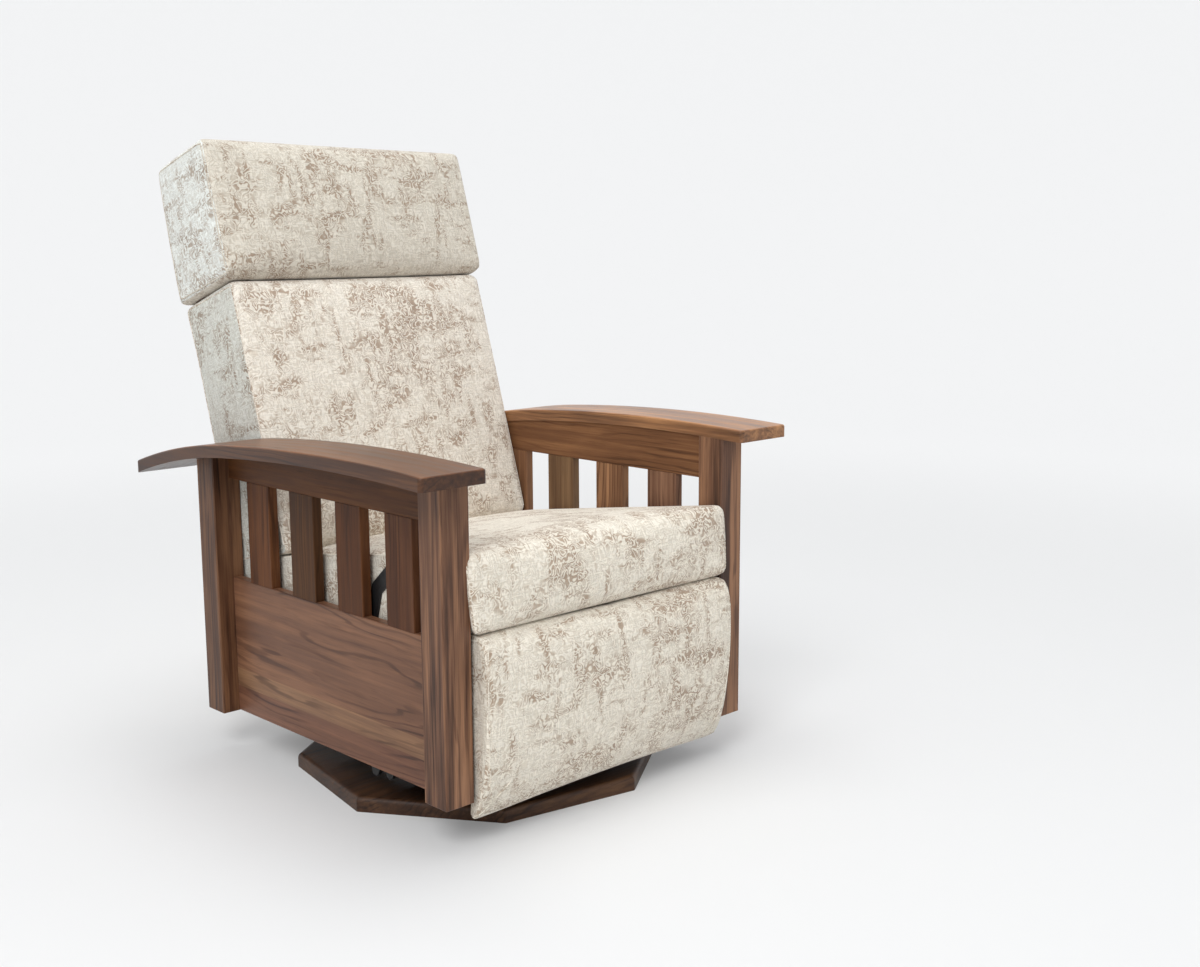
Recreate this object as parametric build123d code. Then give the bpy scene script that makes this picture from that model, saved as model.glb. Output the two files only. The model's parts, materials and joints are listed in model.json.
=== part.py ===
from build123d import *
import os
from math import atan2, cos, degrees, hypot, radians, sin, sqrt

# Swivel glider recliner in walnut, with loose-look upholstery over a sprung seat and back.
# Millimetres. The sitter faces -Y and +Z is up. The origin is on the swivel axis, at the floor.
# Left and right are the sitter's own, so left is +X. "Ahead" is measured from the swivel axis
# towards the front, and "behind" towards the back. Points of a side outline are (ahead, height).

os.makedirs("parts", exist_ok=True)

# Side frames: posts, panel, slats, rail and the bowed arm board
arm_width = 126.3
arm_inner = 293.7
arm_front = 381.0
arm_rear = 488.0
arm_thick = 22.2
arm_peak_height = 627.8
arm_peak_ahead = 160.0
arm_bend_behind = 184.0
arm_front_radius = 4200.0
arm_rear_radius = 1409.0
arm_edge_round = 4.0
arm_corner_round = 7.0
post_side = 56.5
post_inner = 293.2
post_foot_height = 80.5
post_chamfer = 2.0
front_post_ahead = 335.5
rear_post_behind = 391.8
panel_outer = 316.2
panel_thick = 19.0
panel_bottom = 81.5
panel_top = 339.0
top_rail_drop = 79.6
slat_width = 73.0
slat_gap = 67.3
slat_count = 4
wood_chamfer = 1.2

# Seat, which slopes down to the back
seat_slope = 8.5
seat_front_ahead = 350.0
seat_front_bottom = 355.0
seat_side_gap = 4.2
seat_under_back = 38.5
seat_edge_thick = 119.0
seat_crown = 7.0
seat_rail_depth = 28.0
seat_rail_front = 62.0
seat_rail_wide = 38.0
seat_rail_gap = 7.4
seat_rail_rear = 6.0
soft_gap = 0.4
touch_gap = 0.3

# Back, which leans behind the seat
back_lean = 17.0
back_foot_behind = 199.0
back_foot_height = 403.0
back_half_width = 289.5
back_height = 506.5
back_cushion_thick = 116.0
back_crown = 7.0
head_half_width = 295.0
head_height = 254.5
head_proud = 17.0
head_crown = 7.0
head_gap = 5.0
back_shell_depth = 44.6
back_shell_wall = 5.0
back_frame_depth = 30.0
back_stile_wide = 38.0
back_rail_wide = 64.0
back_pivot_behind = 262.0
back_pivot_height = 300.0
back_bracket_wide = 30.0

# Cushion edges
cushion_corner = 22.0
cushion_edge = 9.0
cushion_draw = 3.0

# Footrest
footrest_half_width = 289.5
footrest_board_ahead = 300.0
footrest_board_thick = 14.0
footrest_board_half = 280.0
footrest_bottom = 52.0
footrest_top = 349.5
footrest_edge_thick = 38.0
footrest_crown = 20.0
footrest_corner = 30.0
footrest_board_margin = 12.0

# Lift linkage, in steel strap. Angles count from straight ahead, upwards.
strap_thick = 3.0
strap_wide = 20.0
strap_gap = 1.6
plate_thick = 3.0
drive_pivot_ahead = 205.0
drive_pivot_height = 288.0
drive_length = 190.0
drive_angle = -113.8
brace_spacing = 80.0
carry_length = 205.0
carry_angle = 39.8
toe_spacing = 52.0
pin_radius = 4.0
pin_clearance = 0.05
pin_head_radius = 7.0
pin_head_thick = 1.4
tube_side = 16.0
tube_wall = 2.0

# Mechanism plates and cross rails
plate_depth = 40.0
flange_wide = 42.0
cross_rail_thick = 22.0
cross_rail_deep = 42.0
cross_rail_ahead = 262.0
rear_rail_thick = 19.0
rear_rail_top = 236.0

# Release lever
lever_pivot_ahead = 62.0
lever_pivot_height = 301.0
lever_hub_radius = 15.0
lever_stem_wide = 26.0
lever_blade_wide = 26.0
lever_bend_ahead = 86.0
lever_bend_height = 386.0
lever_tip_ahead = 158.0
lever_tip_height = 449.0
grip_wall = 0.8
grip_length = 44.0

# Glider: a stand on the turntable, four hanging links and the carriage under the seat
glide_pitch = 110.0
glide_top_height = 205.0
glide_length = 118.0
glide_link_wide = 24.0
carriage_gap = 0.3
stand_top_share = 0.62
stand_foot_half = 130.0
stand_arm_ahead = 82.0
stand_arm_wide = 36.0
stand_arm_deep = 22.0
stand_arm_wall = 2.5
carriage_half = 142.0
carriage_window_share = 0.34

# Swivel and base
base_radius = 342.0
base_sides = 8
base_turn = -10.8
base_thick = 26.0
base_round = 9.0
swivel_plate_side = 230.0
swivel_plate_thick = 3.5
swivel_plate_corner = 28.0
race_radius = 84.0
race_wide = 17.0
race_height = 5.0
ball_radius = 4.0
ball_count = 24
ball_clearance = 0.05
bolt_radius = 6.0
bolt_head_radius = 11.0
bolt_head_thick = 5.0
screw_radius = 2.2
screw_head_radius = 4.6
screw_head_thick = 2.0
screw_inset = 18.0

# Sinuous springs
spring_wire = 1.7
spring_half_wave = 21.0
spring_swing = 16.0
seat_spring_count = 5
back_spring_count = 3
spring_side_margin = 60.0

overrun = 60.0

rail_bottom = arm_peak_height - arm_thick - top_rail_drop
drive_end = drive_length + toe_spacing
ring_hole = pin_radius + pin_clearance
plate_inner = panel_outer - panel_thick - plate_thick
seat_half_width = post_inner - seat_side_gap
seat_rail_half = plate_inner - seat_rail_gap
seat_length = (seat_front_ahead + back_foot_behind + seat_under_back) / cos(radians(seat_slope))
seat_rear_rail_end = seat_length - seat_rail_rear
outer_layer = plate_inner - strap_gap - strap_thick
inner_layer = outer_layer - strap_gap - strap_thick
bracket_layer = inner_layer - strap_gap - strap_thick


def polar(start, length, angle):
    """A point in the side plane, a length away from another at an angle."""
    return (start[0] + length * cos(radians(angle)), start[1] + length * sin(radians(angle)))


drive_pivot = (drive_pivot_ahead, drive_pivot_height)
knee = polar(drive_pivot, drive_length, drive_angle)
toe = polar(drive_pivot, drive_end, drive_angle)
brace_pivot = polar(drive_pivot, -brace_spacing, carry_angle)
heel = polar(knee, -brace_spacing, carry_angle)
upper_eye = polar(knee, carry_length, carry_angle)
lower_eye = polar(toe, carry_length, carry_angle)
lever_pivot = (lever_pivot_ahead, lever_pivot_height)
back_pivot = (-back_pivot_behind, back_pivot_height)


def side(sketch, x_low, thick):
    """Give a side outline, drawn as (ahead, height), its thickness along X."""
    plane = Plane(origin=(x_low, 0, 0), x_dir=(0, -1, 0), z_dir=(-1, 0, 0))
    return extrude(plane * sketch, amount=-thick)


def outline(*points):
    """A filled outline through points."""
    return make_face(Polyline(*points, close=True))


def bar(start, end, wide, x_low, thick, holes, hole_radius=ring_hole):
    """A round-ended steel bar from one point to another, with holes."""
    run = (end[0] - start[0], end[1] - start[1])
    middle = ((start[0] + end[0]) / 2, (start[1] + end[1]) / 2)
    sketch = SlotCenterToCenter(hypot(*run), wide, rotation=degrees(atan2(run[1], run[0])))
    sketch = Pos(*middle) * sketch
    for hole in holes:
        sketch -= Pos(*hole) * Circle(hole_radius)
    return side(sketch, x_low, thick)


def pin(centre, x_low, x_high, radius=pin_radius, head_low=0, head_high=0, head_radius=pin_head_radius):
    """A pin along X, with a flat head at either end."""
    body = side(Pos(*centre) * Circle(radius), x_low, x_high - x_low)
    if head_low:
        body += side(Pos(*centre) * Circle(head_radius), x_low - head_low, head_low)
    if head_high:
        body += side(Pos(*centre) * Circle(head_radius), x_high, head_high)
    return body


def block(low, high):
    """A box between two corners."""
    size = [b - a for a, b in zip(low, high)]
    centre = [(a + b) / 2 for a, b in zip(low, high)]
    return Pos(*centre) * Box(*size)


def other_side(shape):
    """The same piece for the sitter's right."""
    return mirror(shape, about=Plane.YZ)


def pair(shape):
    """A left piece and its mirror image, as one group."""
    return Compound(children=[*shape.solids(), *other_side(shape).solids()])


def group(shapes):
    """Separate solids kept as one group."""
    return Compound(children=[solid for shape in shapes for solid in shape.solids()])


def save(name, shape):
    """Write one piece."""
    export_step(shape, f"parts/{name}.step")


def cushion_outline(wide, long, corner, draw, inset):
    """A rounded rectangle whose sides draw in a little between the corners."""
    half_x = wide / 2 - inset
    half_y = long / 2 - inset
    turn = corner * (1 - sqrt(1 / 2))
    corners = ((half_x, half_y), (-half_x, half_y), (-half_x, -half_y), (half_x, -half_y))
    edges = []
    for index, (x, y) in enumerate(corners):
        next_x, next_y = corners[(index + 1) % len(corners)]
        sign_x = x / half_x
        sign_y = y / half_y
        along_y = index % 2 == 1
        from_x = x - sign_x * corner
        from_y = y - sign_y * corner
        middle = (x - sign_x * turn, y - sign_y * turn)
        ends = ((x, from_y), (from_x, y))
        first, last = (ends[1], ends[0]) if along_y else ends
        edges.append(ThreePointArc(first, middle, last))
        if along_y:
            start = (x, y - sign_y * corner)
            stop = (next_x, next_y + sign_y * corner)
            bow = (x - sign_x * draw, 0)
        else:
            start = (x - sign_x * corner, y)
            stop = (next_x + sign_x * corner, next_y)
            bow = (0, y - sign_y * draw)
        edges.append(ThreePointArc(start, bow, stop))
    return make_face(edges)


# Height up a cushion as a share of its edge thickness, with the inset there as a share of its edge
cushion_wall_shares = ((0.0, 1.0), (0.09, 0.22), (0.22, 0.0), (0.78, 0.0), (0.93, 0.25), (1.0, 0.8))
# Height up the crown as a share of it, with the inset there as a share of the shorter half side
cushion_crown_shares = ((0.34, 0.12), (0.70, 0.33), (1.0, 0.66))


def cushion(wide, long, edge_thick, crown, corner=cushion_corner):
    """A crowned cushion lying on z = 0 about the origin: a ruled wall under a smooth crown."""
    walls = [(edge_thick * up, cushion_edge * inset) for up, inset in cushion_wall_shares]
    reach = min(wide, long) / 2
    domes = [walls[-1]] + [(edge_thick + crown * up, reach * inset) for up, inset in cushion_crown_shares]

    def slice_at(height, inset):
        round_here = max(corner - inset / 2, corner / 2)
        return Pos(0, 0, height) * cushion_outline(wide, long, round_here, cushion_draw, inset)

    wall = loft([slice_at(*level) for level in walls], ruled=True)
    return wall + loft([slice_at(*level) for level in domes])


def arm_line(offset):
    """The arm's long bow, as two arcs that meet smoothly, moved down by an offset."""
    front_radius = arm_front_radius - offset
    rear_radius = arm_rear_radius - offset
    centre = (arm_peak_ahead, arm_peak_height - arm_front_radius)
    bend_angle = degrees(atan2(arm_bend_behind + arm_peak_ahead, sqrt(
        arm_front_radius**2 - (arm_bend_behind + arm_peak_ahead)**2)))
    rear_centre = polar(centre, arm_front_radius - arm_rear_radius, 90 + bend_angle)
    front_angle = degrees(atan2(sqrt(front_radius**2 - (arm_front - arm_peak_ahead)**2),
                                arm_front - arm_peak_ahead))
    rear_reach = arm_rear + rear_centre[0]
    rear_angle = degrees(atan2(sqrt(rear_radius**2 - rear_reach**2), -rear_reach))
    front = polar(centre, front_radius, front_angle)
    front_middle = polar(centre, front_radius, (front_angle + 90 + bend_angle) / 2)
    bend = polar(centre, front_radius, 90 + bend_angle)
    rear_middle = polar(rear_centre, rear_radius, (90 + bend_angle + rear_angle) / 2)
    rear = polar(rear_centre, rear_radius, rear_angle)
    return front, front_middle, bend, rear_middle, rear


def arm_profile():
    """The side outline of the arm board."""
    top = arm_line(0)
    low = arm_line(arm_thick)
    return make_face([
        ThreePointArc(*top[:3]),
        ThreePointArc(*top[2:]),
        Line(top[4], low[4]),
        ThreePointArc(low[4], low[3], low[2]),
        ThreePointArc(low[2], low[1], low[0]),
        Line(low[0], top[0]),
    ])


def above_arm_underside():
    """What lies above the arm's underside: posts and rails stop there."""
    low = arm_line(arm_thick)
    roof = arm_peak_height + arm_width
    sketch = make_face([
        ThreePointArc(*low[:3]),
        ThreePointArc(*low[2:]),
        Line(low[4], (-arm_rear, roof)),
        Line((-arm_rear, roof), (arm_front, roof)),
        Line((arm_front, roof), low[0]),
    ])
    return side(sketch, 0, arm_inner + arm_width)


def arm():
    """The bowed arm board, its corners and top edges rounded."""
    board = side(arm_profile(), arm_inner, arm_width)
    uprights = board.edges().filter_by(lambda edge: edge.length < arm_thick * 1.1)
    uprights = uprights.filter_by(lambda edge: abs(edge.tangent_at(0).X) < 0.5)
    board = fillet(uprights, arm_corner_round)
    top = board.faces().filter_by(lambda face: face.normal_at().Z > 0.8)
    return fillet(top.edges(), arm_edge_round)


def post(ahead):
    """A square post with softened corners; ahead is its front face."""
    low = (post_inner, -ahead, post_foot_height)
    high = (post_inner + post_side, -ahead + post_side, arm_peak_height)
    shape = block(low, high)
    shape = chamfer(shape.edges().filter_by(Axis.Z), post_chamfer)
    shape = shape - above_arm_underside()
    foot = shape.faces().sort_by(Axis.Z)[0]
    return chamfer(foot.edges(), post_chamfer / 2)


inner_front = front_post_ahead - post_side
inner_rear = rear_post_behind - post_side
slat_centre_behind = (inner_rear - inner_front) / 2


def side_board(bottom, top):
    """A board between the posts, flush with the slats."""
    low = (panel_outer - panel_thick, -inner_front, bottom)
    high = (panel_outer, inner_rear, top)
    return block(low, high)


def side_panel():
    """The wide lower panel, its edges eased."""
    board = side_board(panel_bottom, panel_top)
    return chamfer(board.edges().filter_by(Axis.Y), wood_chamfer)


def top_rail():
    """The rail under the arm, its top cut to the arm's bow."""
    rail = side_board(rail_bottom, arm_peak_height) - above_arm_underside()
    lower = rail.edges().filter_by(Axis.Y).group_by(Axis.Z)[0]
    return chamfer(lower, wood_chamfer)


def slats():
    """The upright slats between panel and rail."""
    pieces = []
    for index in range(slat_count):
        behind = slat_centre_behind + (index - (slat_count - 1) / 2) * (slat_width + slat_gap)
        low = (panel_outer - panel_thick, behind - slat_width / 2, panel_top)
        high = (panel_outer, behind + slat_width / 2, rail_bottom)
        pieces.append(chamfer(block(low, high).edges().filter_by(Axis.Z), wood_chamfer))
    return group(pieces)


# The seat's own frame: y runs back along the slope from the front edge, z square to it
seat_place = Location((0, -seat_front_ahead, seat_front_bottom), (-seat_slope, 0, 0))


def on_seat(low, high):
    """A block in the seat's own frame."""
    return seat_place * block(low, high)


def seat_point(along, up):
    """A point of the seat's own frame, as (ahead, height)."""
    slope = radians(seat_slope)
    ahead = seat_front_ahead - along * cos(slope) - up * sin(slope)
    return (ahead, seat_front_bottom - along * sin(slope) + up * cos(slope))


def seat_cushion():
    """The crowned seat cushion."""
    shape = cushion(2 * seat_half_width, seat_length, seat_edge_thick, seat_crown)
    return seat_place * Pos(0, seat_length / 2, 0) * shape


rail_top = -soft_gap
rail_low = rail_top - seat_rail_depth


def seat_side_rail():
    """The seat's side rail."""
    return on_seat((seat_rail_half - seat_rail_wide, seat_rail_front, rail_low),
                   (seat_rail_half, seat_rear_rail_end, rail_top))


def seat_cross_rail(along):
    """A seat rail from side to side."""
    half = seat_rail_half - seat_rail_wide
    return on_seat((-half, along, rail_low), (half, along + seat_rail_wide, rail_top))


def sinuous(length, wave, swing, wire):
    """One zigzag spring from y = 0 to its length: straight runs across, joined by half turns."""
    turns = 2 * max(2, round(length / wave / 2)) - 1
    step = (length - 2 * wire) / turns
    radius = step / 2
    reach = swing - radius
    edges = []
    for index in range(turns + 1):
        sign = 1 if index % 2 == 0 else -1
        run_y = wire + index * step
        first = 0 if index == 0 else -sign * reach
        last = 0 if index == turns else sign * reach
        edges.append(Line((first, run_y), (last, run_y)))
        if index < turns:
            bend = (last + sign * radius, run_y + radius)
            edges.append(ThreePointArc((last, run_y), bend, (last, run_y + step)))
    path = Wire(edges)
    start = Plane(origin=path @ 0, z_dir=path % 0)
    print("sinuous spring: least gap to itself", round(step - 2 * wire, 2))
    return sweep(start * Circle(wire), path=path)


def spring_set(count, half_span, length):
    """Springs side by side."""
    spring = sinuous(length, spring_half_wave, spring_swing, spring_wire)
    span = 2 * (half_span - spring_side_margin)
    return [Pos(-span / 2 + index * span / (count - 1), 0, 0) * spring for index in range(count)]


def seat_springs():
    """The seat springs, from front rail to rear rail."""
    start = seat_rail_front + seat_rail_wide + touch_gap
    length = seat_rear_rail_end - seat_rail_wide - touch_gap - start
    half = seat_rail_half - seat_rail_wide
    springs = spring_set(seat_spring_count, half, length)
    middle = (rail_low + rail_top) / 2
    return group([seat_place * Pos(0, start, middle) * spring for spring in springs])


# The back's own frame: y runs down behind, z up along the lean, at the cushion's lower front edge
back_place = Location((0, back_foot_behind, back_foot_height), (-back_lean, 0, 0))
back_total = back_height + head_gap + head_height
back_depth = back_cushion_thick + back_shell_depth + soft_gap


def on_back(low, high):
    """A block in the back's own frame."""
    return back_place * block(low, high)


def upright_cushion(half_width, tall, edge_thick, crown, foot, rear):
    """A cushion stood up on the back, its crown to the front."""
    shape = Rot(90, 0, 0) * cushion(2 * half_width, tall, edge_thick, crown)
    return back_place * Pos(0, rear, foot + tall / 2) * shape


def back_cushion():
    """The tall back cushion."""
    edge = back_cushion_thick - back_crown
    return upright_cushion(back_half_width, back_height, edge, back_crown, 0, back_cushion_thick)


def headrest_cushion():
    """The headrest, a little wider and prouder than the back."""
    edge = back_cushion_thick + head_proud - head_crown
    foot = back_height + head_gap
    return upright_cushion(head_half_width, head_height, edge, head_crown, foot, back_cushion_thick)


shell_front = back_cushion_thick + soft_gap


def back_shell(half_width, foot, top, open_low, open_high):
    """A tray of padded cover round the frame, open to the front."""
    low = (-half_width, shell_front, foot)
    high = (half_width, shell_front + back_shell_depth, top)
    shape = block(low, high)
    shape = fillet(shape.edges().filter_by(Axis.Y), cushion_corner / 2)
    rear = shape.faces().sort_by(Axis.Y)[-1]
    shape = fillet(rear.edges(), cushion_edge)
    pocket_foot = foot - overrun if open_low else foot + back_shell_wall
    pocket_top = top + overrun if open_high else top - back_shell_wall
    pocket_low = (-half_width + back_shell_wall, low[1] - overrun, pocket_foot)
    pocket_high = (half_width - back_shell_wall, high[1] - back_shell_wall, pocket_top)
    return back_place * (shape - block(pocket_low, pocket_high))


def back_cover():
    """The lower cover, slotted in its foot for the brackets."""
    shape = back_shell(back_half_width, 0, back_height, False, True)
    half = back_bracket_wide / 2 + back_shell_wall
    middle = (frame_front + frame_rear) / 2
    slot = on_back((bracket_inner - touch_gap, middle - half, -overrun),
                   (bracket_outer + touch_gap, middle + half, frame_foot))
    return shape - slot - other_side(slot)


bracket_outer = back_half_width - back_shell_wall - touch_gap
bracket_inner = bracket_outer - strap_thick
stile_outer = bracket_inner - touch_gap
frame_front = shell_front + touch_gap
frame_rear = frame_front + back_frame_depth
frame_foot = back_shell_wall + touch_gap
frame_top = back_total - back_shell_wall - touch_gap


def back_stile():
    """An upright of the back frame."""
    return on_back((stile_outer - back_stile_wide, frame_front, frame_foot),
                   (stile_outer, frame_rear, frame_top))


def back_rail(foot):
    """A cross rail of the back frame."""
    half = stile_outer - back_stile_wide
    return on_back((-half, frame_front, foot), (half, frame_rear, foot + back_rail_wide))


def back_springs():
    """The springs of the back, between its lower and middle rails."""
    start = frame_foot + back_rail_wide + touch_gap
    length = back_middle_foot - touch_gap - start
    half = stile_outer - back_stile_wide
    springs = spring_set(back_spring_count, half, length)
    middle = (frame_front + frame_rear) / 2
    return group([back_place * Pos(0, middle, start) * Rot(90, 0, 0) * spring for spring in springs])


back_middle_foot = back_height - back_rail_wide


def back_bracket():
    """The strap that carries the back frame, down to the recline pivot."""
    lean = radians(back_lean)
    middle = (frame_front + frame_rear) / 2
    reach = back_height / 3
    foot = (-(back_foot_behind + middle * cos(lean)), back_foot_height - middle * sin(lean))
    high = (foot[0] - reach * sin(lean), foot[1] + reach * cos(lean))
    low = (foot[0] - frame_foot * sin(lean), foot[1] + frame_foot * cos(lean))
    strap = bar(low, high, back_frame_depth - 2 * touch_gap, bracket_inner, strap_thick, [])
    arm_piece = bar(back_pivot, low, back_bracket_wide - 2 * touch_gap, bracket_inner, strap_thick, [])
    hole = side(Pos(*back_pivot) * Circle(ring_hole), bracket_inner - overrun, 2 * overrun)
    return strap + arm_piece - hole


def back_pivot_pin():
    """The shouldered pin of the back, riveted in the mechanism plate."""
    collar_low = bracket_outer + touch_gap
    shape = pin(back_pivot, bracket_inner - touch_gap, plate_inner + plate_thick, head_low=pin_head_thick)
    return shape + side(Pos(*back_pivot) * Circle(pin_head_radius), collar_low, plate_inner - collar_low)


def footrest_board():
    """The plywood behind the footrest pad."""
    low = (-footrest_board_half, -footrest_board_ahead - footrest_board_thick,
           footrest_bottom + footrest_board_margin)
    high = (footrest_board_half, -footrest_board_ahead, footrest_top - footrest_board_margin)
    return chamfer(block(low, high).edges().filter_by(Axis.Y), footrest_board_margin)


def footrest_pad():
    """The footrest's crowned pad."""
    tall = footrest_top - footrest_bottom
    shape = cushion(2 * footrest_half_width, tall, footrest_edge_thick, footrest_crown, footrest_corner)
    front = footrest_board_ahead + footrest_board_thick + soft_gap
    return Pos(0, -front, (footrest_top + footrest_bottom) / 2) * Rot(90, 0, 0) * shape


def footrest_bracket():
    """The angle that ties both eyes to the board."""
    foot = (footrest_board_ahead, lower_eye[1] - strap_wide * 2)
    head = (footrest_board_ahead, upper_eye[1] + strap_wide)
    web = outline(foot, head, (upper_eye[0], upper_eye[1] + strap_wide / 2), upper_eye, lower_eye,
                  (lower_eye[0], lower_eye[1] - strap_wide / 2))
    for eye in (upper_eye, lower_eye):
        web += Pos(*eye) * Circle(strap_wide / 2)
    web -= outline(*[(footrest_board_ahead + overrun * near, height) for near, height in (
        (0, foot[1] - overrun), (1, foot[1] - overrun), (1, head[1] + overrun), (0, head[1] + overrun))])
    for eye in (upper_eye, lower_eye):
        web -= Pos(*eye) * Circle(ring_hole)
    flange_low = (bracket_layer - flange_wide, -footrest_board_ahead, foot[1])
    flange_high = (bracket_layer + strap_thick, -footrest_board_ahead + strap_thick, head[1])
    return side(web, bracket_layer, strap_thick) + block(flange_low, flange_high)


def drive_link():
    """The long crank that swings the footrest out."""
    return bar(drive_pivot, toe, strap_wide, outer_layer, strap_thick, [drive_pivot, knee, toe])


def brace_link():
    """The rear crank, parallel to the drive link."""
    return bar(brace_pivot, heel, strap_wide, outer_layer, strap_thick, [brace_pivot, heel])


def carry_link():
    """The long bar on both cranks, which carries the upper eye."""
    return bar(heel, upper_eye, strap_wide, inner_layer, strap_thick, [heel, knee, upper_eye])


def steady_link():
    """The bar to the lower eye, which turns the footrest."""
    return bar(toe, lower_eye, strap_wide, inner_layer, strap_thick, [toe, lower_eye])


rivet_reach = strap_gap / 4


def rivet(centre, x_low, x_high):
    """A rivet through two straps, headed inside and flush outside."""
    return pin(centre, x_low - rivet_reach, x_high, head_low=pin_head_thick / 2)


def linkage_rivets(centres, x_low, x_high):
    """Rivets through two neighbouring straps."""
    return group([rivet(centre, x_low, x_high) for centre in centres])


def drive_tube():
    """The square tube that ties the two drive links."""
    half = outer_layer - touch_gap
    low = (-half, -drive_pivot_ahead - tube_side / 2, drive_pivot_height - tube_side / 2)
    high = (half, -drive_pivot_ahead + tube_side / 2, drive_pivot_height + tube_side / 2)
    shape = block(low, high)
    turn_axis = Axis((0, -drive_pivot_ahead, drive_pivot_height), (1, 0, 0))
    inner_low = [a + tube_wall for a in low]
    inner_high = [b - tube_wall for b in high]
    inner_low[0] = -half - overrun
    inner_high[0] = half + overrun
    return (shape - block(inner_low, inner_high)).rotate(turn_axis, -drive_angle)


def mechanism_plate():
    """The steel plate on the side panel, with its pivots and a flange under the seat rail."""
    top_front = seat_point(seat_rail_front + plate_depth, rail_low)
    front_low = (top_front[0], drive_pivot_height - strap_wide)
    brace_low = (brace_pivot[0], brace_pivot[1] - strap_wide)
    rear_low = (back_pivot[0] + plate_depth, seat_point(seat_rear_rail_end, rail_low)[1] - plate_depth)
    web = outline(
        top_front,
        front_low,
        (drive_pivot_ahead, drive_pivot_height - plate_depth / 2),
        (brace_low[0] + strap_wide, brace_low[1]),
        (brace_low[0] - strap_wide, brace_low[1]),
        seat_point(seat_rail_front + 8 * plate_depth, rail_low - plate_depth),
        rear_low,
        (back_pivot[0] - strap_wide, rear_low[1]),
        (back_pivot[0] - strap_wide, back_pivot[1]),
        (back_pivot[0] + strap_wide, back_pivot[1]),
        seat_point(seat_rear_rail_end - 2 * plate_depth, rail_low),
    )
    web += Pos(*back_pivot) * Circle(strap_wide)
    web += Pos(*lever_pivot) * Circle(lever_hub_radius + pin_radius)
    for hole in (drive_pivot, brace_pivot, lever_pivot, back_pivot):
        web -= Pos(*hole) * Circle(pin_radius)
    along_front = seat_rail_front + plate_depth
    along_rear = seat_rear_rail_end - plate_depth / 2
    flange = on_seat((plate_inner + plate_thick - flange_wide, along_front, rail_low - plate_thick),
                     (plate_inner + plate_thick, along_rear, rail_low))
    return side(web, plate_inner, plate_thick) + flange


def plate_pin(centre, x_low):
    """A pivot riveted into the mechanism plate."""
    return pin(centre, x_low, plate_inner + plate_thick, head_low=pin_head_thick)


def plate_pins():
    """The plate's pivots for both cranks and the lever."""
    low = outer_layer - strap_gap / 2
    return group([plate_pin(centre, low) for centre in (brace_pivot, lever_pivot)])


def drive_pins():
    """The drive link's stub axles, which turn in the plate."""
    return pin(drive_pivot, outer_layer, plate_inner + plate_thick)


def front_cross_rail():
    """The wooden rail behind the footrest, hung from the plates' flanges."""
    along = (seat_front_ahead - cross_rail_ahead) / cos(radians(seat_slope))
    top = rail_low - plate_thick
    return on_seat((-inner_layer, along, top - cross_rail_deep), (inner_layer, along + cross_rail_thick, top))


def rear_rail():
    """The wide rail between the rear posts."""
    middle = rear_post_behind - post_side / 2
    low = (-post_inner, middle - rear_rail_thick / 2, panel_bottom)
    high = (post_inner, middle + rear_rail_thick / 2, rear_rail_top)
    return chamfer(block(low, high).edges().filter_by(Axis.X), wood_chamfer)


def release_lever():
    """The flat black lever beside the seat: an upright stem, then a blade forwards."""
    bend = (lever_bend_ahead, lever_bend_height)
    tip = (lever_tip_ahead, lever_tip_height)
    stem = bar(lever_pivot, bend, lever_stem_wide, outer_layer, strap_thick, [])
    blade = bar(bend, tip, lever_blade_wide, outer_layer, strap_thick, [])
    hub = side(Pos(*lever_pivot) * Circle(lever_hub_radius), outer_layer, strap_thick)
    hole = side(Pos(*lever_pivot) * Circle(ring_hole), outer_layer - overrun, 2 * overrun)
    return stem + blade + hub - hole


def lever_grip():
    """The dipped sleeve on the lever's end."""
    tip = (lever_tip_ahead, lever_tip_height)
    angle = degrees(atan2(lever_tip_height - lever_bend_height, lever_tip_ahead - lever_bend_ahead))
    start = polar(tip, -grip_length, angle)
    sleeve = bar(start, tip, lever_blade_wide + 2 * grip_wall, outer_layer - grip_wall,
                 strap_thick + 2 * grip_wall, [])
    open_end = side(Pos(*start) * Rot(0, 0, angle) * Pos(-overrun / 2, 0) * Rectangle(overrun, overrun),
                    outer_layer - overrun, 2 * overrun)
    return sleeve - open_end - release_lever()


carriage_outer = seat_rail_half - seat_rail_wide - carriage_gap
carriage_inner = carriage_outer - plate_thick
link_low = carriage_inner - strap_gap - strap_thick
stand_low = link_low - strap_gap - plate_thick
stand_floor = base_thick + 2 * swivel_plate_thick + 2 * race_height
glide_foot_height = glide_top_height - glide_length
hang_points = [(sign * glide_pitch, glide_foot_height) for sign in (1, -1)]
hook_points = [(sign * glide_pitch, glide_top_height) for sign in (1, -1)]


def carriage():
    """The plate that hangs on the links and carries the seat rail."""
    rise = [seat_point(seat_front_ahead - ahead, (rail_low + rail_top) / 2)[1]
            for ahead in (carriage_half, -carriage_half)]
    foot = glide_foot_height - glide_link_wide / 2
    web = outline(
        (carriage_half, foot),
        (carriage_half, rise[0]),
        (-carriage_half, rise[1]),
        (-carriage_half, foot),
    )
    window = 2 * glide_pitch * carriage_window_share
    middle = (foot + rise[1]) / 2
    web -= Pos(0, middle) * RectangleRounded(window, window, window / 4)
    for hole in hang_points:
        web -= Pos(*hole) * Circle(pin_radius)
    return side(web, carriage_inner, plate_thick)


def glide_link(ahead):
    """A hanging link."""
    top = (ahead, glide_top_height)
    foot = (ahead, glide_foot_height)
    return bar(top, foot, glide_link_wide, link_low, strap_thick, [top, foot])


def carriage_pins():
    """The carriage's pivots, through the feet of the links."""
    low = link_low - strap_gap / 2
    return group([pin(centre, low, carriage_outer, head_low=pin_head_thick / 4) for centre in hang_points])


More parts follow.
